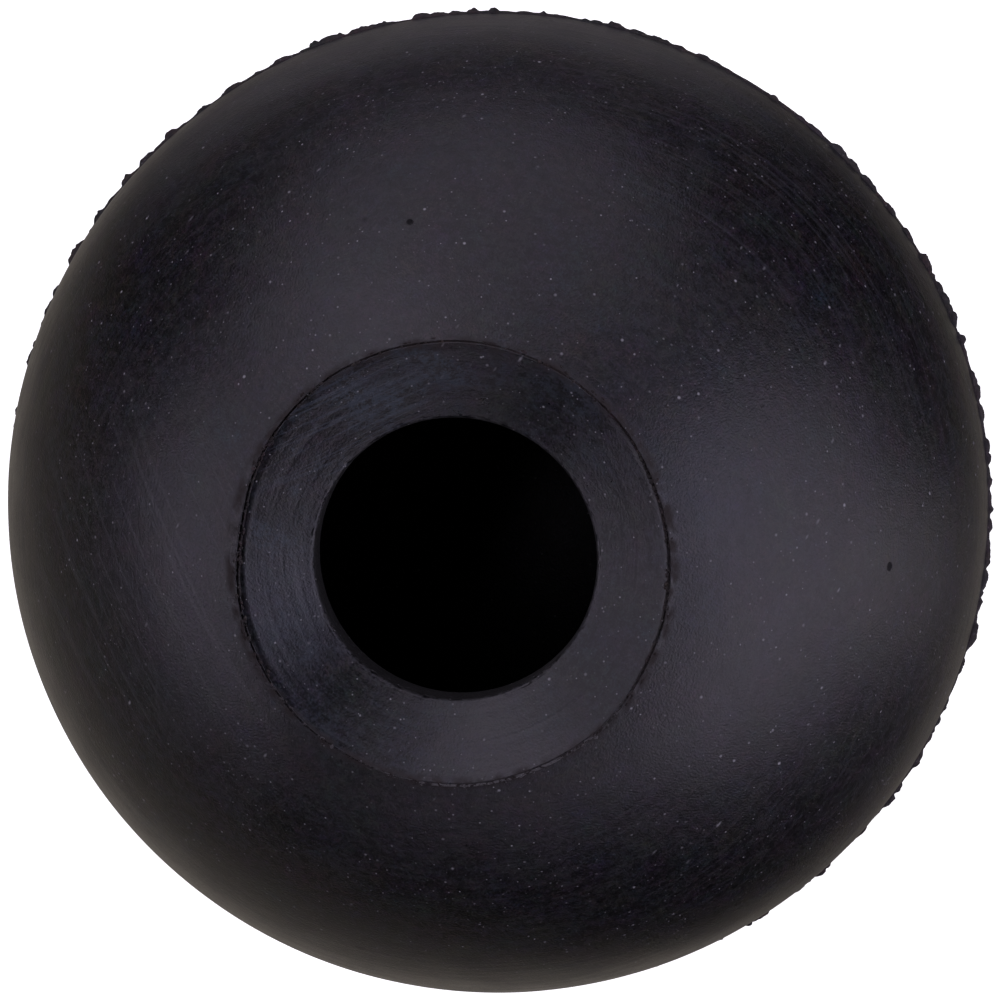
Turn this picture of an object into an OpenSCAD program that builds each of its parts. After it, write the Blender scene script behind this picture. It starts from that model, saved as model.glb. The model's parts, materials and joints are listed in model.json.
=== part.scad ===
// Case opening friction ball: a hollow black rubber ball with a round mouth.
// Two half shells are bonded at the seam, and a dished ring is bonded round the mouth.
// The origin is the lowest point of the ball, and +Z runs up the axis of the mouth.
// All sizes are in millimetres.

/* [Ball] */
// Outer diameter of the ball
ball_d = 65; // [60:0.5:70]
// Thickness of the rubber wall
wall = 6.5; // [6:0.1:9]

/* [Mouth] */
// Diameter of the round opening
mouth_d = 17.8; // [14:0.1:19]
// Diameter of the ring round the opening, at its rim
ring_d = 27.6; // [24:0.1:28]
// Depth of the dished face, from the rim down to the edge of the opening
dish_depth = 2.4; // [1:0.1:2.8]
// Radius of the rounded edge of the opening
lip_r = 0.4; // [0.2:0.1:0.5]
// Width of the bevel on each side of the ring's joint line
joint_bevel = 0.15; // [0.05:0.05:0.4]

/* [Seam] */
// Thickness of the layer of rubber that bonds the two half shells
bond_t = 0.5; // [0.2:0.1:1]
// Mean height of the squeezed-out edge above the ball
flash_h = 0.3; // [0.2:0.05:0.6]
// Depth of the ragged ripple in that edge
flash_ripple = 0.18; // [0:0.01:0.2]

/* [Hidden] */

ball_r = ball_d / 2;
cavity_r = ball_r - wall;
mouth_r = mouth_d / 2;
ring_r = ring_d / 2;

// Radial gap between the ring and its seat, so that the ring can be pressed in
ring_gap = 0.03;
seat_r = ring_r + ring_gap;

// Heights above the centre of the ball
rim_z = sqrt(pow(ball_r, 2) - pow(ring_r, 2));
seat_z = sqrt(pow(ball_r, 2) - pow(seat_r, 2));
lip_z = rim_z - dish_depth;
bond_z = bond_t / 2;

// Slope of the dished face, and the rounded edge that joins it to the bore
dish_a = atan(dish_depth / (ring_r - mouth_r));
lip_sweep = 90 - dish_a;
lip_steps = 6;
lip_tangent = lip_r * tan(lip_sweep / 2);

// Points round the seam's outline, and the waves that make it ragged
seam_points = 360;
coarse_waves = 31;
middle_waves = 73;
fine_waves = 117;

overrun = 1;
$fn = 128;

// Height of the seam's edge above the ball at angle a, ragged but the same every time
function flash_at(a) =
    flash_h + flash_ripple * (
        0.4 * sin(coarse_waves * a + 40 * sin(3 * a))
        + 0.35 * sin(middle_waves * a + 70 * sin(5 * a))
        + 0.25 * sin(fine_waves * a)
    );

// Places a shape drawn about the centre of the ball
module at_centre() {
    translate([0, 0, ball_r]) children();
}

// Section of the wall between two heights above the centre, from the axis outwards
module wall_section(z_low, z_high) {
    difference() {
        intersection() {
            circle(r = ball_r);
            translate([0, z_low]) square([ball_r + overrun, z_high - z_low]);
        }
        circle(r = cavity_r);
    }
}

// Closed half of the ball, below the seam
module rear_shell() {
    color("#1c1b1e")
    at_centre()
    rotate_extrude()
    wall_section(-ball_r - overrun, -bond_z);
}

// Half of the ball above the seam, with the round seat that holds the mouth ring
module front_shell() {
    color("#1c1b1e")
    at_centre()
    rotate_extrude()
    difference() {
        wall_section(bond_z, ball_r + overrun);
        square([seat_r, ball_r + overrun]);
        // Bevel on the seat's outer edge
        polygon([
            [seat_r - overrun, seat_z + overrun],
            [seat_r - overrun, seat_z - joint_bevel],
            [seat_r, seat_z - joint_bevel],
            [seat_r + joint_bevel, seat_z],
            [seat_r + joint_bevel, seat_z + overrun]
        ]);
    }
}

// Layer that bonds the half shells, with its ragged edge standing proud of the ball
module seam_bond() {
    outline = [
        for (i = [0 : seam_points - 1])
            let (a = i * 360 / seam_points)
            (ball_r + flash_at(a)) * [cos(a), sin(a)]
    ];
    color("#151416")
    at_centre()
    translate([0, 0, -bond_z])
    linear_extrude(height = bond_t)
    difference() {
        polygon(outline);
        circle(r = cavity_r);
    }
}

// Ring bonded into the seat: a dished face, a rounded edge and the straight bore
module mouth_ring() {
    // The rounded edge, from the dished face round to the wall of the bore
    lip_arc = [
        for (i = [lip_steps : -1 : 0])
            let (a = 180 - i * lip_sweep / lip_steps)
            [mouth_r + lip_r + lip_r * cos(a), lip_z - lip_tangent + lip_r * sin(a)]
    ];
    color("#20202a")
    at_centre()
    rotate_extrude()
    difference() {
        polygon(concat(
            [
                [mouth_r, 0],
                [ring_r, 0],
                [ring_r, rim_z - joint_bevel],
                [ring_r - joint_bevel, rim_z - joint_bevel * tan(dish_a)]
            ],
            lip_arc
        ));
        circle(r = cavity_r);
    }
}

rear_shell();
front_shell();
seam_bond();
mouth_ring();
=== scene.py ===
import json
import math

import bmesh
import bpy
import numpy as np
from mathutils import Matrix, Vector


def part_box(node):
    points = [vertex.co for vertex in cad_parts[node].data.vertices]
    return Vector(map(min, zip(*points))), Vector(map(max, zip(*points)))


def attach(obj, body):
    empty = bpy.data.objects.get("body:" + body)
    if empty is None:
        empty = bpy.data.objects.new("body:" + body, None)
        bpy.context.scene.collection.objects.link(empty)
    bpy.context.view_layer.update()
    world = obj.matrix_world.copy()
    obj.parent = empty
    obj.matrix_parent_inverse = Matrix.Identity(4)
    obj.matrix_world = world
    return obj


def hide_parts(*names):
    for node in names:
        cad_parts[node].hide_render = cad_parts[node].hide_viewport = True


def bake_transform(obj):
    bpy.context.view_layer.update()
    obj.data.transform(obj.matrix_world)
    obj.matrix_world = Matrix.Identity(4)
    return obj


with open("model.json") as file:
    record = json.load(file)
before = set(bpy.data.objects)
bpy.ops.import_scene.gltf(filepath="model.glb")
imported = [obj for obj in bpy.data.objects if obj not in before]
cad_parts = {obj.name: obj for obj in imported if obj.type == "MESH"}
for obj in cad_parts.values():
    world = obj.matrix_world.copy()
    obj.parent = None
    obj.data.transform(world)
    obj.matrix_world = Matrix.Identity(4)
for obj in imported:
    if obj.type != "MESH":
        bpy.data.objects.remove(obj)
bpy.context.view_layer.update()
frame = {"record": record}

MM = 0.001

# ---- Sizes from the frame ---------------------------------------------------------------------

bond_low, bond_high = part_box("seam_bond")
ring_low, ring_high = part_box("mouth_ring")
shell_low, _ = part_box("rear_shell")
bore = next(m for m in frame["record"]["mounts"] if m["name"] == "mouth_bore")

CENTRE_Z = (bond_low.z + bond_high.z) / 2
BALL_R = CENTRE_Z - shell_low.z
RING_R = (ring_high.x - ring_low.x) / 2
CAVITY_R = math.hypot(RING_R, ring_low.z - CENTRE_Z)
MOUTH_R = bore["dims"]["r_mm"] * MM
BORE_TOP = bore["pos_m"][2] - CENTRE_Z + bore["dims"]["length_mm"] / 2 * MM
HALF_BOND = (bond_high.z - bond_low.z) / 2
FLASH_TOP = (bond_high.x - bond_low.x) / 2 - BALL_R
RIM_Z = math.sqrt(BALL_R**2 - RING_R**2)

# ---- Surface detail, in metres ----------------------------------------------------------------

LIP_R = 0.4 * MM
SEAT_GAP = 0.03 * MM
EDGE_REACH = 0.45 * MM
WAVE_HEIGHT = 0.035 * MM
JOINT_WOBBLE = 0.07 * MM
JOINT_OVAL = 0.17 * MM
JOINT_DENT = 0.25 * MM
TOOL_MARK = 0.004 * MM
ROUNDED_EDGE = 0.6 * MM
EDGE_DROP = 0.16 * MM
LIP_NICK = 0.05 * MM
# Height of the burr on either side of the joint, and how far from it the widened gap reaches
SHELL_BURR = 0.07 * MM
RING_BURR = 0.04 * MM
SHELL_PULL_REACH = 0.7 * MM
RING_PULL_REACH = 0.5 * MM
# Depth of the filler in the joint, of its lumps and of the crevice in it
FILLER_DEPTH = 0.035 * MM
FILLER_LUMPS = 0.05 * MM
CREVICE_DEPTH = 0.04 * MM
# Rise of the dished face for each step away from the axis
DISH_SLOPE = 0.49
GROOVE_R = 0.84 * RING_R
GROOVE_DEPTH = 0.035 * MM
GROOVE_WIDTH = 0.06 * MM
GROOVE_STRAY = 0.12 * MM
# How far from the ring's joint its straying from a circle dies away
STRAY_REACH = 0.8 * MM
# Depth of the finer mesh beside the joint, and of the joint's widened top
CRACK_DEPTH = 1.2 * MM
GAP_DEPTH = 0.6 * MM
CRUMBS = 600
FLASH_HUMPS = 150
FLASH_NUBS = 120

# ---- Mesh columns round the mouth's axis ------------------------------------------------------

REAR_COLUMNS = 440
JOINT_COLUMNS = 700
FILLER_COLUMNS = 2 * JOINT_COLUMNS
FLASH_COLUMNS = 3200

# ---- Where features of the ring lie -----------------------------------------------------------

# All in degrees in the picture, counter-clockwise from its right
OVAL_CLOCK = 96
DENT_CLOCK = 171
DUSTY_CLOCK = 268
GROOVE_CLOCK = 345
MARKS_CLOCK = 215
WORN_CLOCK = 180
CREVICE_CLOCK = 172

# ---- Directions in the picture ----------------------------------------------------------------

# The camera looks almost straight down into the mouth, turned about its own axis.
VIEW_TILT = math.radians(9.46)
VIEW_ROLL = math.radians(142.8)
VIEW_DISTANCE = 15 * BALL_R
BALL_SHARE = 0.981
FRAME_SHIFT = (0.0018, 0.0024)

to_camera = Vector((0, -math.sin(VIEW_TILT), math.cos(VIEW_TILT)))
level = Vector((1, 0, 0))
upright = to_camera.cross(level)
image_right = level * math.cos(VIEW_ROLL) - upright * math.sin(VIEW_ROLL)
image_up = upright * math.cos(VIEW_ROLL) + level * math.sin(VIEW_ROLL)
ball_centre = Vector((0, 0, CENTRE_Z))
# Arcs that cross the shell at the left of the picture: the axis they run round, and their middle
SCUFF_AXIS = image_right * 0.85 + image_up * 0.44 + to_camera * 0.30
SCUFF_CENTRE = image_right * -0.70 + image_up * -0.17 + to_camera * 0.69
# Fine scratches that cross the ring at its upper left
SCRATCH_AXIS = image_right * -0.41 + image_up * 0.91
SCRATCH_CENTRE = Vector((0, 0, 0.92)) + (image_right * -0.62 + image_up * 0.79) * 0.38
# Two pits in the shell, painted dark as the shade inside them: the way to each from the ball's
# centre, and its radius in millimetres
PITS = [
    (image_right * 0.765 - image_up * 0.125 + to_camera * 0.63, 0.31),
    (image_right * -0.17 + image_up * 0.54 + to_camera * 0.82, 0.25),
]
# Long pale scratches that follow the ball's outline at the upper right
STREAK_AXIS = to_camera * 0.97 + image_right * 0.18 + image_up * 0.12
STREAK_CENTRE = image_right * 0.60 + image_up * 0.66 + to_camera * 0.45
# The side of the ring's joint that is pale with dust
DUST_SIDE = -image_up
# The side of the ring with the most bluish chalk
CHALK_SIDE = image_right * -0.75 + image_up * 0.66
# The share of a turn at which the joint faces the left of the picture
JOINT_OPEN_TURN = math.atan2(-image_right.y, -image_right.x) / (2 * math.pi)


def smooth_noise(turn, along, cells_round, seed):
    """Noise from -1 to 1. It wraps once round for turn from 0 to 1, and along is counted in cells."""
    random = np.random.default_rng(seed)
    turn, along = np.broadcast_arrays(turn, along)
    along = along - along.min()
    grid = random.uniform(-1, 1, (cells_round, int(along.max()) + 2))
    x = (turn % 1) * cells_round
    i, j = np.floor(x).astype(int), np.floor(along).astype(int)
    u, v = x - i, along - j
    u, v = u * u * (3 - 2 * u), v * v * (3 - 2 * v)
    i, i_next = i % cells_round, (i + 1) % cells_round
    low = grid[i, j] * (1 - u) + grid[i_next, j] * u
    high = grid[i, j + 1] * (1 - u) + grid[i_next, j + 1] * u
    return low * (1 - v) + high * v


def fractal(turn, along, cells_round, seed, layers=3):
    """Layers of smooth noise, each twice as fine and half as strong as the one before."""
    total = sum(
        smooth_noise(turn, along * 2**k, cells_round * 2**k, seed + k) / 2**k for k in range(layers)
    )
    return total / 1.5


def arc(radius, start, stop, count):
    """Points (r, z) on a circle about the ball's centre. Angles run from +Z, in radians."""
    a = np.linspace(start, stop, count)
    return np.column_stack([radius * np.sin(a), radius * np.cos(a)])


def line(start, stop, count):
    """Points (r, z) on a straight line, without its last point."""
    t = np.linspace(0, 1, count, endpoint=False)[:, None]
    return np.array(start) * (1 - t) + np.array(stop) * t


def section_normals(section):
    """Unit normals of a section whose points run clockwise as seen with r to the right and z up."""
    step = np.gradient(section, axis=0)
    normal = np.column_stack([-step[:, 1], step[:, 0]])
    return normal / np.linalg.norm(normal, axis=1, keepdims=True)


def revolved(name, radius, height, closed):
    """Mesh object from grids of radius and height: rows run along the section, columns round it."""
    rows, columns = radius.shape
    turn = np.arange(columns) * 2 * math.pi / columns
    points = np.stack(
        [radius * np.cos(turn), radius * np.sin(turn), height + CENTRE_Z], axis=-1
    ).reshape(-1, 3)
    index = np.arange(rows * columns).reshape(rows, columns)
    next_row = np.roll(index, -1, axis=0)
    if not closed:
        index, next_row = index[:-1], next_row[:-1]
    faces = np.stack(
        [index, np.roll(index, -1, axis=1), np.roll(next_row, -1, axis=1), next_row], axis=-1
    ).reshape(-1, 4)
    mesh = bpy.data.meshes.new(name)
    mesh.from_pydata(points.tolist(), [], faces.tolist())
    shape = bmesh.new()
    shape.from_mesh(mesh)
    bmesh.ops.remove_doubles(shape, verts=shape.verts, dist=1e-8)
    bmesh.ops.recalc_face_normals(shape, faces=shape.faces)
    shape.to_mesh(mesh)
    shape.free()
    mesh.polygons.foreach_set("use_smooth", [True] * len(mesh.polygons))
    piece = bpy.data.objects.new(name, mesh)
    bpy.context.scene.collection.objects.link(piece)
    return piece


def turns(columns):
    """Share of a whole turn at each column, as a row."""
    return (np.arange(columns) / columns)[None, :]


def waviness(turn, along, seed):
    """The slight unevenness of hand-buffed rubber, in metres."""
    return WAVE_HEIGHT * fractal(turn, along / (9 * MM), 14, seed)


def facing(turn, clock, power):
    """1 where the ring faces that way in the picture, falling to 0 on its far side.

    clock is in degrees, counter-clockwise from the right of the picture.
    """
    away = 2 * math.pi * (turn - JOINT_OPEN_TURN) - math.radians(clock - 180)
    return (0.5 + 0.5 * np.cos(away)) ** power


def openness(turn):
    """How far the ring's joint line has opened, from 0 to 1: most on two opposite sides."""
    sides = 0.5 + 0.5 * np.cos(4 * math.pi * (turn - JOINT_OPEN_TURN))
    uneven = 0.35 * fractal(turn, np.zeros_like(turn), 23, 51)
    return np.clip(0.2 + 0.6 * sides + uneven, 0, 1) * (1 - 0.9 * dusty_side(turn))


def dusty_side(turn):
    """1 where the joint is packed full of pale dust, at the bottom of the picture."""
    return facing(turn, DUSTY_CLOCK, 5)


def wobble(turn):
    """How far the ring's joint line strays from a true circle, in metres."""
    long_axis = math.radians(OVAL_CLOCK - 180)
    oval = JOINT_OVAL * np.cos(4 * math.pi * (turn - JOINT_OPEN_TURN) - 2 * long_axis)
    uneven = JOINT_WOBBLE * fractal(turn, np.zeros_like(turn), 17, 53)
    return oval + uneven - JOINT_DENT * facing(turn, DENT_CLOCK, 60)


# ---- Camera -----------------------------------------------------------------------------------


def add_camera():
    """Camera above the mouth, far enough away that the ball's outline fills the picture."""
    data = bpy.data.cameras.new("camera")
    data.sensor_width = 36
    data.lens = data.sensor_width * BALL_SHARE / 2 * math.sqrt((VIEW_DISTANCE / BALL_R) ** 2 - 1)
    data.shift_x, data.shift_y = FRAME_SHIFT
    data.clip_start, data.clip_end = 0.01, 20
    camera = bpy.data.objects.new("camera", data)
    bpy.context.scene.collection.objects.link(camera)
    turned = Matrix((image_right, image_up, to_camera)).transposed().to_4x4()
    camera.matrix_world = Matrix.Translation(ball_centre + to_camera * VIEW_DISTANCE) @ turned
    bpy.context.scene.camera = camera


# ---- Pieces -----------------------------------------------------------------------------------


def rear_shell():
    """Closed half of the ball, with a pole on the axis both outside and inside."""
    seam_out = math.acos(-HALF_BOND / BALL_R)
    seam_in = math.acos(-HALF_BOND / CAVITY_R)
    inner = arc(CAVITY_R, math.pi, seam_in, 50)
    outer = arc(BALL_R, seam_out, math.pi, 170)
    section = np.vstack([inner, line(inner[-1], outer[0], 5)[1:], outer])
    turn = turns(REAR_COLUMNS)
    normal = section_normals(section)
    polar = np.arctan2(section[:, 0], section[:, 1])
    is_outer = (np.arange(len(section)) >= len(section) - len(outer))[:, None]
    # The height fades out towards the poles, where all columns meet, and at the bonded seam
    fade = np.sin(np.clip((math.pi - polar) * 4, 0, math.pi / 2))[:, None] ** 2
    fade = fade * np.clip((polar - seam_out) * 20, 0, 1)[:, None]
    rise = waviness(turn, (BALL_R * polar)[:, None], 11) * is_outer * fade
    radius = np.maximum(section[:, :1] - normal[:, :1] * rise, 0)
    radius[[0, -1]] = 0
    height = section[:, 1:] - normal[:, 1:] * rise
    return revolved("rear_shell_skin", radius, height, closed=False)


def front_shell():
    """Half of the ball round the mouth, with a torn edge along the ring's joint."""
    seat_r = RING_R + SEAT_GAP
    seat_out = math.asin(seat_r / BALL_R)
    seat_in = math.asin(seat_r / CAVITY_R)
    seam_out = math.acos(HALF_BOND / BALL_R)
    seam_in = math.acos(HALF_BOND / CAVITY_R)
    near = arc(BALL_R, seat_out, seat_out + CRACK_DEPTH / BALL_R, 26)
    far = arc(BALL_R, seat_out + CRACK_DEPTH / BALL_R, seam_out, 66)
    outer = np.vstack([near, far[1:]])
    inner = arc(CAVITY_R, seam_in, seat_in, 22)
    wall_low, wall_high = inner[-1], outer[0]
    crack_low = wall_high - [0, CRACK_DEPTH]
    wall = np.vstack([line(wall_low, crack_low, 4)[1:], line(crack_low, wall_high, 14)])
    section = np.vstack([outer, line(outer[-1], inner[0], 4)[1:], inner, wall])
    turn = turns(JOINT_COLUMNS)
    is_outer = (np.arange(len(section)) < len(outer))[:, None]
    normal = np.column_stack([section[:, 0], section[:, 1]]) / BALL_R
    polar = np.arctan2(section[:, 0], section[:, 1])
    from_edge = (BALL_R * (polar - seat_out))[:, None]
    on_wall = (np.arange(len(section)) >= len(section) - len(wall))[:, None]
    # The burr is torn rubber that stands up beside the joint
    near_edge = np.exp(-np.clip(from_edge, 0, None) ** 2 / (EDGE_REACH / 2) ** 2)
    lumps = 0.5 + 0.5 * fractal(turn, from_edge / (0.3 * MM), 260, 31)
    burr = SHELL_BURR * near_edge * lumps * (0.35 + 0.65 * openness(turn))
    fade = np.clip((seam_out - polar) * 20, 0, 1)[:, None]
    rise = (waviness(turn, (BALL_R * polar)[:, None], 12) * fade + burr) * is_outer
    shift = wobble(turn) * np.where(is_outer, np.exp(-from_edge / STRAY_REACH), on_wall)
    radius = section[:, :1] + normal[:, :1] * rise + shift
    height = section[:, 1:] + normal[:, 1:] * rise - shift * math.tan(seat_out) * is_outer
    # The gap widens outwards, away from the ring, at the top of the seat wall
    depth = np.clip((wall_high[1] - section[:, 1:]) / GAP_DEPTH, 0, 1)
    torn = 0.65 + 0.35 * fractal(turn, depth * 2, 330, 41)
    on_joint = np.abs(section[:, :1] - seat_r) < SHELL_PULL_REACH
    in_front = section[:, 1:] > crack_low[1]
    pull = (0.03 + 0.09 * openness(turn)) * MM * torn * (1 - depth) * on_joint * in_front
    pull = pull * np.clip(1 - (section[:, :1] - seat_r) / SHELL_PULL_REACH, 0, 1)
    return revolved("front_shell_skin", radius + pull, height, closed=True)


def mouth_ring():
    """Dished ring with turned marks, a rounded lip and the straight bore."""
    lip_centre = np.array([MOUTH_R + LIP_R, BORE_TOP])
    rim = np.array([RING_R, RIM_Z])
    across = rim - lip_centre
    lip_end = math.atan2(across[1], across[0]) + math.acos(LIP_R / np.linalg.norm(across))
    swing = np.linspace(math.pi, lip_end, 12)
    lip = lip_centre + LIP_R * np.column_stack([np.cos(swing), np.sin(swing)])
    bore_low = np.array([MOUTH_R, math.sqrt(CAVITY_R**2 - MOUTH_R**2)])
    wall_low = np.array([RING_R, math.sqrt(CAVITY_R**2 - RING_R**2)])
    bore_wall = line(bore_low, lip[0], 16)
    face = line(lip[-1], rim, 84)[1:]
    crack_low = rim - [0, CRACK_DEPTH]
    wall = np.vstack([line(rim, crack_low, 14), line(crack_low, wall_low, 4)])
    inner = arc(CAVITY_R, math.asin(RING_R / CAVITY_R), math.asin(MOUTH_R / CAVITY_R), 10)[:-1]
    section = np.vstack([bore_wall, lip, face, wall, inner])
    turn = turns(JOINT_COLUMNS)
    first = len(bore_wall) + len(lip)
    last = first + len(face)
    on_face = np.zeros((len(section), 1))
    on_face[first:last] = 1
    slope = across / np.linalg.norm(across)
    normal = np.array([-slope[1], slope[0]])
    from_axis = section[:, :1]
    flat = np.zeros_like(turn)
    marks = TOOL_MARK * smooth_noise(turn, from_axis / (0.16 * MM), 19, 61)
    marks = marks + 2 * TOOL_MARK * smooth_noise(turn, from_axis / (0.5 * MM), 13, 62)
    groove_at = GROOVE_R + GROOVE_STRAY * smooth_noise(turn, flat, 5, 63)
    groove_share = np.clip(0.5 + fractal(turn, flat, 11, 66), 0, 1) * facing(turn, GROOVE_CLOCK, 2.5)
    groove = GROOVE_DEPTH * groove_share * np.exp(-(((from_axis - groove_at) / GROOVE_WIDTH) ** 2))
    to_rim = np.clip((RING_R - from_axis) / EDGE_REACH, 0, None)
    lumps = 0.5 + 0.5 * fractal(turn, from_axis / (0.25 * MM), 260, 64)
    burr = RING_BURR * np.exp(-((to_rim * 2) ** 2)) * lumps
    into_edge = np.clip(1 - (RING_R - from_axis) / ROUNDED_EDGE, 0, 1)
    rounding = EDGE_DROP * into_edge**2 * facing(turn, WORN_CLOCK, 1.5)
    marks = marks * (0.3 + 0.7 * facing(turn, MARKS_CLOCK, 1.0))
    rise = (marks + waviness(turn, from_axis, 65) - groove + burr - rounding) * on_face
    on_lip = np.zeros((len(section), 1))
    on_lip[len(bore_wall) + 2:first] = 1
    nicks = LIP_NICK * np.clip(fractal(turn, from_axis / (0.3 * MM), 170, 67), 0, 1) * on_lip
    on_wall = (np.arange(len(section)) >= last)[:, None] * (section[:, :1] > RING_R - 0.01 * MM)
    shift = wobble(turn) * np.where(on_face > 0, np.exp(-(RING_R - from_axis) / STRAY_REACH), on_wall)
    radius = from_axis + normal[0] * rise + shift + nicks
    height = section[:, 1:] + normal[1] * rise + shift * slope[1] / slope[0] * on_face - nicks
    # The gap widens inwards, towards the mouth, at the top of the ring's outer wall
    depth = np.clip((rim[1] - section[:, 1:]) / GAP_DEPTH, 0, 1)
    torn = 0.65 + 0.35 * fractal(turn, depth * 2, 330, 71)
    share = np.clip(1 - (RING_R - section[:, :1]) / RING_PULL_REACH, 0, 1)
    in_front = section[:, 1:] > crack_low[1]
    pull = (0.03 + 0.04 * openness(turn)) * MM * torn * (1 - depth) * share * in_front
    return revolved("mouth_ring_skin", radius - pull, height, closed=True)


def joint_filler():
    """Lumpy rubber squeezed up into the ring's joint, deepest where the joint is most open."""
    turn = turns(FILLER_COLUMNS)
    flat = np.zeros_like(turn)
    crevice = CREVICE_DEPTH * facing(turn, CREVICE_CLOCK, 25)
    drop = EDGE_DROP * facing(turn, WORN_CLOCK, 1.5)
    depth = FILLER_DEPTH * (1 - 1.6 * dusty_side(turn)) + drop + crevice
    lumps = FILLER_LUMPS * fractal(turn, flat, 300, 95)
    middle = RING_R + wobble(turn)
    radius = np.vstack([middle - 0.12 * MM, middle, middle + 0.16 * MM, middle + flat])
    tops = [flat - 0.03 * MM, lumps, flat - 0.05 * MM, flat - 0.5 * MM]
    height = np.vstack([RIM_Z - depth + top for top in tops])
    return revolved("joint_filler", radius, height, closed=True)


def joint_crumbs():
    """Small torn lumps of rubber left in and beside the ring's joint line."""
    random = np.random.default_rng(91)
    seat_r = RING_R + SEAT_GAP
    shape = bmesh.new()
    for _ in range(CRUMBS):
        turn = random.random()
        if random.random() > openness(np.array([[turn]]))[0, 0] + 0.1:
            continue
        angle = 2 * math.pi * turn
        from_joint = abs(random.normal(0, 0.16)) * MM * random.choice((-0.6, 1))
        r = seat_r + wobble(np.array([[turn]]))[0, 0] + from_joint
        if from_joint > 0:
            z = math.sqrt(BALL_R**2 - r**2)
        else:
            z = RIM_Z + from_joint * DISH_SLOPE
        size = random.uniform(0.04, 0.12) * MM
        lump = bmesh.ops.create_icosphere(shape, subdivisions=1, radius=1)["verts"]
        stretch = (size * random.uniform(0.9, 1.5), size * random.uniform(1, 2.2), size * 0.5)
        lean = Matrix.Rotation(random.uniform(-0.5, 0.5), 3, "Z")
        round_axis = Matrix.Rotation(angle, 3, "Z")
        place = round_axis @ Vector((r, 0, z)) + ball_centre
        for vertex in lump:
            rough = vertex.co * random.uniform(0.85, 1.15)
            sized = Vector([a * b for a, b in zip(rough, stretch)])
            vertex.co = place + round_axis @ (lean @ sized)
    mesh = bpy.data.meshes.new("joint_crumbs")
    bmesh.ops.recalc_face_normals(shape, faces=shape.faces)
    shape.to_mesh(mesh)
    shape.free()
    mesh.polygons.foreach_set("use_smooth", [True] * len(mesh.polygons))
    piece = bpy.data.objects.new("joint_crumbs", mesh)
    bpy.context.scene.collection.objects.link(piece)
    return piece


def seam_flash():
    """Bonding layer whose squeezed-out edge stands up round the ball in small rounded nubs."""
    across = 13
    turn = turns(FLASH_COLUMNS)
    random = np.random.default_rng(81)
    flat = np.zeros_like(turn)

    def bump_at(centre, width, power):
        """A rounded bump that is steeper on one side. Its width is in metres round the ball."""
        away = ((turn - centre + 0.5) % 1 - 0.5) * 2 * math.pi * BALL_R / width
        return np.exp(-(np.abs(away * np.where(away > 0, 1.5, 0.8)) ** power))

    edge = 0.3 + 0.2 * fractal(turn, flat, 90, 82)
    for centre in (np.arange(FLASH_HUMPS) + random.uniform(-0.5, 0.5, FLASH_HUMPS)) / FLASH_HUMPS:
        tall = random.uniform(0.3, 1.0)
        edge = np.maximum(edge, tall * bump_at(centre, random.uniform(0.35, 0.95) * MM, 3))
    for centre in random.uniform(0, 1, FLASH_NUBS):
        edge = edge + random.uniform(0.08, 0.25) * bump_at(centre, random.uniform(0.12, 0.3) * MM, 3)
    edge = FLASH_TOP * np.clip(edge, 0.05, 1)
    half_width = HALF_BOND * (1.2 + 0.5 * fractal(turn, flat, 120, 83))
    middle = 0.4 * HALF_BOND * fractal(turn, flat, 60, 84)
    q = np.linspace(-1, 1, across)[:, None]
    height = middle + q * half_width
    crumbs = 1 + 0.25 * fractal(turn, q * 2, 500, 85)
    radius = np.sqrt(BALL_R**2 - height**2) - 0.02 * MM + edge * (1 - q**2) ** 0.7 * crumbs
    deep = HALF_BOND * 0.96
    inside = [
        (BALL_R - 0.6 * MM, deep),
        (CAVITY_R, deep),
        (CAVITY_R, -deep),
        (BALL_R - 0.6 * MM, -deep),
    ]
    rows = [(np.full_like(turn, r), np.full_like(turn, z)) for r, z in inside]
    radius = np.vstack([radius] + [r for r, z in rows])
    height = np.vstack([height] + [z for r, z in rows])
    return revolved("seam_flash", radius, height, closed=True)


# ---- Materials --------------------------------------------------------------------------------


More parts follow.
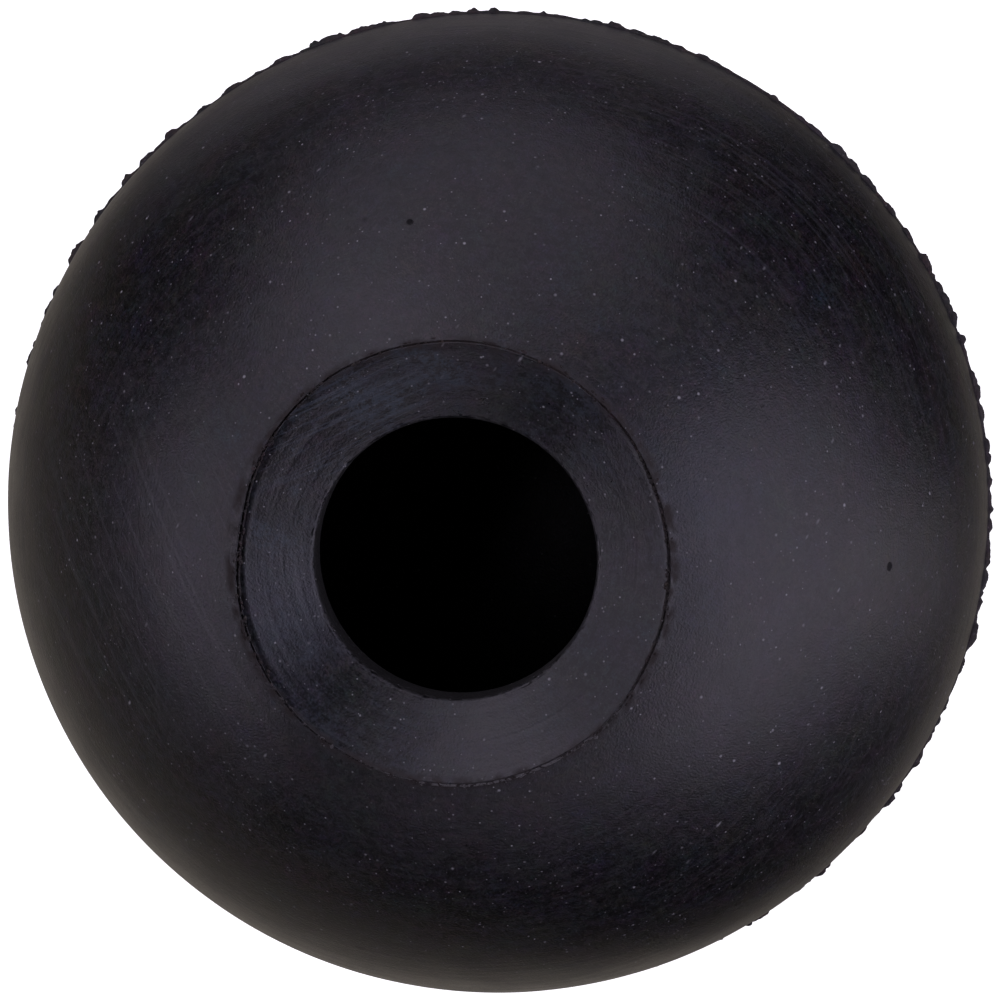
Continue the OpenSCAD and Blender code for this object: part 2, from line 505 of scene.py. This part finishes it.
class Nodes:
    """Short calls that add nodes to a material and link them."""

    def __init__(self, name):
        self.material = bpy.data.materials.new(name)
        self.material.use_nodes = True
        self.tree = self.material.node_tree
        self.shader = self.tree.nodes["Principled BSDF"]

    def put(self, socket, value):
        if isinstance(value, bpy.types.NodeSocket):
            self.tree.links.new(value, socket)
        else:
            socket.default_value = value

    def maths(self, operation, *values, clamp=False):
        node = self.tree.nodes.new("ShaderNodeMath")
        node.operation, node.use_clamp = operation, clamp
        for socket, value in zip(node.inputs, values):
            self.put(socket, value)
        return node.outputs[0]

    def vector(self, operation, *values, scale=None):
        node = self.tree.nodes.new("ShaderNodeVectorMath")
        node.operation = operation
        for socket, value in zip(node.inputs, values):
            self.put(socket, value)
        if scale is not None:
            self.put(node.inputs["Scale"], scale)
        return node.outputs["Value" if operation in ("LENGTH", "DOT_PRODUCT") else "Vector"]

    def combine(self, x, y, z):
        node = self.tree.nodes.new("ShaderNodeCombineXYZ")
        for socket, value in zip(node.inputs, (x, y, z)):
            self.put(socket, value)
        return node.outputs[0]

    def separate(self, vector):
        node = self.tree.nodes.new("ShaderNodeSeparateXYZ")
        self.put(node.inputs[0], vector)
        return node.outputs

    def noise(self, vector, scale, detail=2.0, roughness=0.5, output="Fac"):
        node = self.tree.nodes.new("ShaderNodeTexNoise")
        self.put(node.inputs["Vector"], vector)
        self.put(node.inputs["Scale"], scale)
        self.put(node.inputs["Detail"], detail)
        self.put(node.inputs["Roughness"], roughness)
        return node.outputs[output]

    def spots(self, vector, scale, radius, share):
        """Small round spots, up to radius, in that share of the cells. Most of them are faint."""
        node = self.tree.nodes.new("ShaderNodeTexVoronoi")
        self.put(node.inputs["Vector"], vector)
        self.put(node.inputs["Scale"], scale)
        chance = self.separate(node.outputs["Color"])
        size = self.maths("MULTIPLY_ADD", chance[0], radius * scale * 0.6, radius * scale * 0.4)
        inside = self.maths("SUBTRACT", size, node.outputs["Distance"])
        edge = self.maths("DIVIDE", inside, radius * scale * 0.7, clamp=True)
        chosen = self.maths("LESS_THAN", chance[1], share)
        strength = self.maths("POWER", chance[2], 1.9)
        return self.maths("MULTIPLY", self.maths("MULTIPLY", edge, chosen), strength)

    def ramp(self, value, low, high):
        """0 at low and 1 at high, clamped."""
        node = self.tree.nodes.new("ShaderNodeMapRange")
        self.put(node.inputs["Value"], value)
        self.put(node.inputs["From Min"], low)
        self.put(node.inputs["From Max"], high)
        return node.outputs["Result"]

    def mix(self, factor, a, b, blend="MIX"):
        node = self.tree.nodes.new("ShaderNodeMix")
        node.data_type = "RGBA"
        node.blend_type = blend
        self.put(node.inputs["Factor"], factor)
        self.put(node.inputs["A"], a)
        self.put(node.inputs["B"], b)
        return node.outputs["Result"]


def colour(r, g, b):
    return (r, g, b, 1.0)


BUFFED = colour(0.04, 0.04, 0.043)
SCUFFED = colour(0.06, 0.06, 0.065)
STREAKED = colour(0.06, 0.06, 0.07)
SCRATCHED = colour(0.05, 0.062, 0.08)
CRUMBLED = colour(0.014, 0.0095, 0.008)
# Near black: painted shade inside the pits
PIT_SHADE = colour(0.001, 0.001, 0.001)
PALE_DUST = colour(0.10, 0.098, 0.098)
SPECK = colour(0.36, 0.36, 0.37)
# The next colour is wear at the mouth's edge that also paints a highlight along the lip; the two
# after it paint the shade on the bore's wall
LIP_WEAR_AND_HIGHLIGHT = colour(0.05, 0.05, 0.05)
BORE_SHADE_DARK = colour(0.002, 0.002, 0.001)
BORE_SHADE_PALE = colour(0.007, 0.0065, 0.006)
# Height of the buffing lines, in metres
LINE_BUMP = 0.000004


class Rubber(Nodes):
    """The places and patterns on black rubber that was turned or buffed about the mouth's axis.

    on_ring makes the lines follow the distance from the axis and not the angle from it.
    Lengths are in millimetres here, and noise scales in cells per millimetre.
    """

    def __init__(self, name, on_ring):
        super().__init__(name)
        place = self.tree.nodes.new("ShaderNodeTexCoord").outputs["Object"]
        place = self.vector("SUBTRACT", place, (0, 0, CENTRE_Z))
        self.place = self.vector("SCALE", place, scale=1 / MM)
        x, y, self.z = self.separate(self.place)
        flat = self.combine(x, y, 0.0)
        self.from_axis = self.vector("LENGTH", flat)
        self.way = self.vector("NORMALIZE", flat)
        polar = self.maths("ARCTAN2", self.from_axis, self.z)
        self.along = self.from_axis if on_ring else self.maths("MULTIPLY", polar, BALL_R / MM)

    def side(self, way, low, high):
        """0 to 1 as the direction from the axis turns towards way. low and high are cosines."""
        return self.ramp(self.vector("DOT_PRODUCT", self.way, way), low, high)

    def lines(self, round_scale, pitch):
        """Noise drawn out round the axis: pitch apart, and longer for a lower round_scale."""
        way_x, way_y, _ = self.separate(self.way)
        spot = self.combine(
            self.maths("MULTIPLY", way_x, round_scale),
            self.maths("MULTIPLY", way_y, round_scale),
            self.maths("DIVIDE", self.along, pitch),
        )
        return self.noise(spot, 1.0, detail=3.0)

    def scuffs(self, axis, centre, pitch, reach):
        """Thin pale arcs round a tilted axis, in one patch that reaches so far from centre.

        reach is in degrees, as seen from the ball's centre.
        """
        across = self.vector("DOT_PRODUCT", self.place, axis.normalized())
        spot = self.vector("SCALE", self.place, scale=0.04)
        across = self.combine(self.maths("DIVIDE", across, pitch), 0.0, 0.0)
        noise = self.noise(self.vector("ADD", spot, across), 1.0)
        crest = self.maths("ABSOLUTE", self.maths("SUBTRACT", noise, 0.5))
        way = self.vector("NORMALIZE", self.place)
        towards = self.vector("DOT_PRODUCT", way, centre.normalized())
        edge, whole = math.cos(math.radians(reach)), math.cos(math.radians(reach * 0.45))
        return self.maths("MULTIPLY", self.ramp(crest, 0.03, 0.0), self.ramp(towards, edge, whole))

    def shaded_pits(self):
        """Small faint pits all over, and the dark ones of PITS. The colour paints the shade inside
        them near black.
        """
        shaded_pits = self.spots(self.place, 0.2, radius=0.45, share=0.9)
        for where, radius in PITS:
            middle = where.normalized() * (BALL_R / MM)
            away = self.vector("LENGTH", self.vector("SUBTRACT", self.place, middle))
            shaded_pits = self.maths("MAXIMUM", shaded_pits, self.ramp(away, radius, radius * 0.6))
        return shaded_pits

    def dust(self, share):
        """Specks of two sizes and short fibres, thicker in some places than in others."""
        thick = self.ramp(self.noise(self.place, 0.16, 3.0), 0.25, 0.7)
        share = self.maths("MULTIPLY", thick, share * 2)
        small = self.spots(self.place, 2.4, 0.085, share)
        large = self.spots(self.place, 1.2, 0.14, share)
        drawn_out = self.vector("MULTIPLY", self.place, (1.0, 0.3, 0.6))
        fibres = self.maths("MULTIPLY", self.spots(drawn_out, 0.9, 0.12, share), 0.7)
        return self.maths("MAXIMUM", self.maths("MAXIMUM", small, large), fibres)

    def drift(self):
        """A factor for each colour channel that changes a little from place to place."""
        hue = self.noise(self.place, 0.33, 3.0, 0.7, "Color")
        fine_hue = self.noise(self.place, 3.0, 1.0, 0.5, "Color")
        broad = self.vector("MULTIPLY_ADD", hue, (1.6, 1.6, 1.6), (0.2, 0.2, 0.2))
        fine = self.vector("MULTIPLY_ADD", fine_hue, (0.8, 0.8, 0.8), (-0.4, -0.4, -0.4))
        return self.vector("ADD", broad, fine)


def rubber(
    name, base, bloom, roughness, line_pitch, dust, grit,
    on_ring=False, pale_joint=False, chalk_range=(0.52, 0.72),
):
    """Material of one kind of rubber.

    base is its colour and bloom that of its chalky patches, line_pitch the spacing of its fine
    lines in millimetres, dust the share of dust specks and grit the height of its finest grain,
    as a multiple of LINE_BUMP. pale_joint dusts one side of the ring's joint, and chalk_range is
    where in the noise the chalky patches start and where they are whole.
    """
    n = Rubber(name, on_ring)
    fine = n.lines(6.0, line_pitch)
    coarse = n.lines(1.3, line_pitch * 5)
    grain = n.noise(n.place, 1.3, 3.0, 1.0)
    speckle = n.noise(n.place, 7.0, 1.0)
    patches = n.noise(n.place, 0.28, 4.0, 0.65)
    shaded_pits = n.shaded_pits()
    specks = n.dust(dust)
    # Near the seam the buffing marks are deeper and paler
    near_seam = n.ramp(n.maths("ABSOLUTE", n.z), 16.0, 4.0)
    # Crumbled rubber beside the ring's joint
    beside = n.maths("ABSOLUTE", n.maths("SUBTRACT", n.from_axis, RING_R / MM + 0.12))
    crumbled = n.ramp(n.noise(n.place, 1.1, 3.0), 0.38, 0.6)
    crumbled = n.maths("MULTIPLY", n.ramp(beside, 0.5, 0.1), crumbled)
    crumbled = n.maths("MULTIPLY", crumbled, n.ramp(n.z, 0.0, 5.0))

    # Height, as multiples of LINE_BUMP
    line_depth = n.maths("MULTIPLY_ADD", near_seam, 5.0, 4.5 if on_ring else 1.5)
    relief = n.maths("MULTIPLY_ADD", coarse, line_depth, fine)
    relief = n.maths("MULTIPLY_ADD", grain, 1.1 if on_ring else 3.6, relief)
    relief = n.maths("MULTIPLY_ADD", speckle, grit, relief)
    relief = n.maths("MULTIPLY_ADD", shaded_pits, -14.0, relief)

    # Colour
    tone = n.mix(1.0, base, n.drift(), "MULTIPLY")
    mottle = n.maths("MULTIPLY_ADD", n.ramp(grain, 0.40, 0.60), 1.5, 0.25)
    fine_mottle = n.maths("MULTIPLY_ADD", n.ramp(speckle, 0.3, 0.7), 1.1, 0.45)
    mottle = n.maths("MULTIPLY", mottle, fine_mottle)
    tone = n.mix(1.0, tone, n.combine(mottle, mottle, mottle), "MULTIPLY")
    chalk = n.maths("MULTIPLY", n.ramp(patches, *chalk_range), n.ramp(grain, 0.42, 0.56))
    if on_ring:
        more = n.maths("MULTIPLY_ADD", n.side(CHALK_SIDE, -0.2, 0.9), 0.8, 0.2)
        chalk = n.maths("MULTIPLY", chalk, more)
    tone = n.mix(chalk, tone, bloom)
    paler = n.maths("MULTIPLY_ADD", near_seam, 0.15, 0.18)
    tone = n.mix(n.maths("MULTIPLY", n.ramp(fine, 0.5, 0.75), paler), tone, BUFFED)
    if not on_ring:
        scuff = n.scuffs(SCUFF_AXIS, SCUFF_CENTRE, 1.1, 26)
        tone = n.mix(n.maths("MULTIPLY", scuff, 0.3), tone, SCUFFED)
        relief = n.maths("MULTIPLY_ADD", scuff, 1.2, relief)
        streak = n.scuffs(STREAK_AXIS, STREAK_CENTRE, 0.8, 34)
        streak = n.maths("MULTIPLY", streak, n.ramp(coarse, 0.35, 0.6))
        tone = n.mix(n.maths("MULTIPLY", streak, 0.3), tone, STREAKED)
    tone = n.mix(crumbled, tone, CRUMBLED)
    # Pits are painted near black: painted shade inside them
    tone = n.mix(shaded_pits, tone, PIT_SHADE)
    if pale_joint:
        side = n.maths("MULTIPLY", n.side(DUST_SIDE, 0.5, 0.95), n.ramp(n.from_axis, 20.0, 16.0))
        pale = n.maths("MULTIPLY", side, n.ramp(grain, 0.45, 0.55))
        tone = n.mix(pale, tone, PALE_DUST)
    if on_ring:
        scratch = n.scuffs(SCRATCH_AXIS, SCRATCH_CENTRE, 0.7, 14)
        tone = n.mix(n.maths("MULTIPLY", scratch, 0.5), tone, SCRATCHED)
        # The edge of the mouth is worn paler, and this paleness also paints a highlight along the
        # lip. The wall of the bore is dull, and painted dark as shade inside the mouth
        lip_wear_and_highlight = n.ramp(n.from_axis, MOUTH_R / MM + 0.7, MOUTH_R / MM)
        lip_wear_and_highlight = n.maths("MULTIPLY", lip_wear_and_highlight, n.ramp(grain, 0.42, 0.58))
        tone = n.mix(n.maths("MULTIPLY", lip_wear_and_highlight, 0.4), tone, LIP_WEAR_AND_HIGHLIGHT)
        bore_wall = n.ramp(n.from_axis, MOUTH_R / MM + 0.1, MOUTH_R / MM + 0.02)
        # Painted shade on the bore's wall, inside the mouth
        tone = n.mix(bore_wall, tone, n.mix(grain, BORE_SHADE_DARK, BORE_SHADE_PALE))
    n.put(n.shader.inputs["Base Color"], n.mix(specks, tone, SPECK))

    # Roughness. It hardly dips below its mean value, and fine pores dull the gloss
    line_share = 0.08 if on_ring else 0.2
    rough = n.maths("MULTIPLY_ADD", n.maths("SUBTRACT", fine, 0.5), line_share, roughness)
    rough = n.maths("MULTIPLY_ADD", n.maths("SUBTRACT", patches, 0.5), 0.15, rough)
    rough = n.maths("MAXIMUM", rough, roughness - 0.03)
    pore_share = 0.06 if on_ring else 0.03
    rough = n.maths("MULTIPLY_ADD", n.ramp(grain, 0.50, 0.60), pore_share, rough)
    rough = n.maths("MULTIPLY_ADD", n.ramp(speckle, 0.50, 0.68), pore_share, rough)
    if on_ring:
        rough = n.maths("MULTIPLY_ADD", bore_wall, 0.35, rough)
        rough = n.maths("MULTIPLY_ADD", lip_wear_and_highlight, 0.2, rough)
    rough = n.maths("MULTIPLY_ADD", crumbled, 0.4, rough)
    rough = n.maths("MULTIPLY_ADD", shaded_pits, 0.55, rough)
    rough = n.maths("MULTIPLY_ADD", specks, 0.4, rough, clamp=True)
    n.put(n.shader.inputs["Roughness"], rough)

    bump = n.tree.nodes.new("ShaderNodeBump")
    bump.inputs["Strength"].default_value = 1.0
    bump.inputs["Distance"].default_value = LINE_BUMP
    n.put(bump.inputs["Height"], relief)
    n.put(n.shader.inputs["Normal"], bump.outputs["Normal"])
    return n.material


def use(piece, material):
    piece.data.materials.append(material)


# ---- Stage and light --------------------------------------------------------------------------

FLOOR_SIZE = 6
LIGHT_DISTANCE = 0.7


def add_floor():
    """A plain white floor that only the camera sees, so that the softboxes alone light the ball."""
    bpy.ops.mesh.primitive_plane_add(size=FLOOR_SIZE)
    floor = bpy.context.object
    floor.name = "floor"
    n = Nodes("floor_white")
    n.shader.inputs["Base Color"].default_value = colour(0.8, 0.8, 0.8)
    n.shader.inputs["Roughness"].default_value = 1.0
    n.shader.inputs["Specular IOR Level"].default_value = 0.0
    n.shader.inputs["Emission Color"].default_value = colour(1, 1, 1)
    n.shader.inputs["Emission Strength"].default_value = 1.0
    floor.data.materials.append(n.material)
    floor.visible_glossy = False
    floor.visible_diffuse = False
    floor.visible_shadow = False


def softbox(name, away, clock, half_away, half_clock, brightness, tint):
    """Elliptical area light aimed at the ball.

    away is the angle from the camera's line and clock the angle round that line, counter-clockwise
    from the right of the picture. half_away and half_clock are how far the light reaches each way
    along those two angles, as seen from the ball. All four are in degrees.
    """
    a, c = math.radians(away), math.radians(clock)
    side = image_right * math.cos(c) + image_up * math.sin(c)
    round_line = image_up * math.cos(c) - image_right * math.sin(c)
    direction = to_camera * math.cos(a) + side * math.sin(a)
    outward = side * math.cos(a) - to_camera * math.sin(a)
    data = bpy.data.lights.new(name, "AREA")
    data.shape = "ELLIPSE"
    data.size = 2 * LIGHT_DISTANCE * math.tan(math.radians(half_away))
    data.size_y = 2 * LIGHT_DISTANCE * math.tan(math.radians(half_clock))
    area = math.pi * data.size * data.size_y / 4
    data.energy = brightness * math.pi * area
    data.color = tint
    light = bpy.data.objects.new(name, data)
    turned = Matrix((outward, round_line, direction)).transposed().to_4x4()
    light.matrix_world = Matrix.Translation(ball_centre + direction * LIGHT_DISTANCE) @ turned
    light.visible_camera = False
    bpy.context.scene.collection.objects.link(light)


def add_world():
    """A white background that lights nothing."""
    world = bpy.data.worlds.new("white")
    world.use_nodes = True
    world.node_tree.nodes["Background"].inputs["Color"].default_value = colour(1, 1, 1)
    world.cycles_visibility.glossy = False
    world.cycles_visibility.diffuse = False
    bpy.context.scene.world = world


def add_lights():
    """Large soft lights round the camera's line, and the weak glow of a pale table from behind."""
    violet = (0.88, 0.80, 1.0)
    blue = (0.72, 0.70, 1.0)
    rose = (1.0, 0.91, 1.0)
    warm = (1.0, 0.89, 0.78)
    # name, away, clock, half_away, half_clock, brightness, tint
    softbox("right", 70, -15, 30, 40, 1.08, violet)
    softbox("top", 65, 95, 40, 40, 0.79, violet)
    softbox("left_strip", 77, 197, 6, 32, 2.6, violet)
    softbox("bottom_strip", 66, 297, 6, 58, 1.42, violet)
    softbox("over_left", 42, 160, 32, 37, 0.84, violet)
    softbox("over_right", 45, 5, 15, 20, 1.3, blue)
    softbox("low_right", 108, 350, 22, 12, 0.58, rose)
    softbox("behind_top", 142, 96, 7, 30, 0.48, rose)
    softbox("table_left", 145, 215, 36, 43, 0.19, warm)
    softbox("table", 175, 285, 28, 34, 0.29, warm)


# ---- Making -----------------------------------------------------------------------------------

add_camera()
add_floor()
add_world()
add_lights()
bpy.context.scene.view_settings.view_transform = "Standard"

shell_rubber = rubber(
    "shell_rubber",
    base=colour(0.0085, 0.0078, 0.0092),
    bloom=colour(0.014, 0.0138, 0.0145),
    roughness=0.385,
    line_pitch=0.22,
    dust=0.75,
    grit=6.0,
)
ring_rubber = rubber(
    "ring_rubber",
    base=colour(0.0078, 0.0078, 0.0090),
    bloom=colour(0.024, 0.034, 0.044),
    roughness=0.30,
    line_pitch=0.16,
    dust=0.9,
    grit=3.4,
    on_ring=True,
    chalk_range=(0.48, 0.62),
)
bond_rubber = rubber(
    "bond_rubber",
    base=colour(0.0170, 0.0125, 0.0110),
    bloom=colour(0.030, 0.025, 0.022),
    roughness=0.70,
    line_pitch=0.15,
    dust=0.9,
    grit=5.5,
    pale_joint=True,
)

rear = rear_shell()
use(rear, shell_rubber)
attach(rear, "ball")
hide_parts("rear_shell")

front = front_shell()
use(front, shell_rubber)
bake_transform(front)
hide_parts("front_shell")

filler = joint_filler()
use(filler, bond_rubber)
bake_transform(filler)

crumbs = joint_crumbs()
use(crumbs, bond_rubber)
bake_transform(crumbs)

flash = seam_flash()
use(flash, bond_rubber)
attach(flash, "ball")
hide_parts("seam_bond")

ring = mouth_ring()
use(ring, ring_rubber)
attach(ring, "mouth")
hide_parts("mouth_ring")
